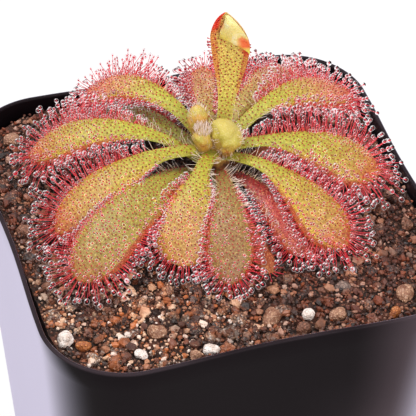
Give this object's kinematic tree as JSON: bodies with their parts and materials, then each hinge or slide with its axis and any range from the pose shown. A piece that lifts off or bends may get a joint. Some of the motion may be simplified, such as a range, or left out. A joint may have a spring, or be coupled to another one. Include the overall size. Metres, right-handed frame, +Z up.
{
  "type": "potted sundew",
  "caption": "Carnivorous sundew rosette with arched spoon-shaped sticky leaves, growing in a small square plastic pot of gritty mix.",
  "frame": {"origin": "middle of the pot's underside, on the surface that it stands on", "axes": "+Z up; +X and +Y square to the pot's sides, with the plant's red lowest front leaves towards -Y"},
  "size_m": [0.07, 0.07, 0.0968],
  "materials": {
    "pot_plastic": "satin",
    "potting_mix": "matte",
    "stem": "matte",
    "leaf": "satin",
    "young_leaf": "satin",
    "bud": "satin",
    "dead_leaf": "matte",
    "stone_pale": "matte",
    "stone_tan": "matte",
    "stone_rust": "matte",
    "stone_brown": "matte",
    "stone_grey": "matte"
  },
  "bodies": {
    "root": {"pot": "pot_plastic", "potting_mix": "potting_mix", "crown_stem": "stem", "leaf_01": "leaf", "leaf_02": "leaf", "leaf_03": "leaf", "leaf_04": "leaf", "leaf_05": "leaf", "leaf_06": "leaf", "leaf_07": "leaf", "leaf_08": "leaf", "leaf_09": "leaf", "leaf_10": "leaf", "leaf_11": "leaf", "leaf_12": "leaf", "leaf_13": "leaf", "leaf_14": "leaf", "young_leaf": "young_leaf", "bud_large": "bud", "bud_front": "bud", "bud_rear": "bud", "old_leaf_1": "dead_leaf", "old_leaf_2": "dead_leaf", "old_leaf_3": "dead_leaf", "old_leaf_4": "dead_leaf", "stone_01": "stone_pale", "stone_02": "stone_rust", "stone_03": "stone_pale", "stone_04": "stone_pale", "stone_05": "stone_tan", "stone_06": "stone_tan", "stone_07": "stone_tan", "stone_08": "stone_brown", "stone_09": "stone_pale", "stone_10": "stone_tan", "stone_11": "stone_grey", "stone_12": "stone_rust", "stone_13": "stone_tan", "stone_14": "stone_brown", "stone_15": "stone_grey", "stone_16": "stone_brown", "stone_17": "stone_tan", "stone_18": "stone_pale"}
  },
  "joints": []
}
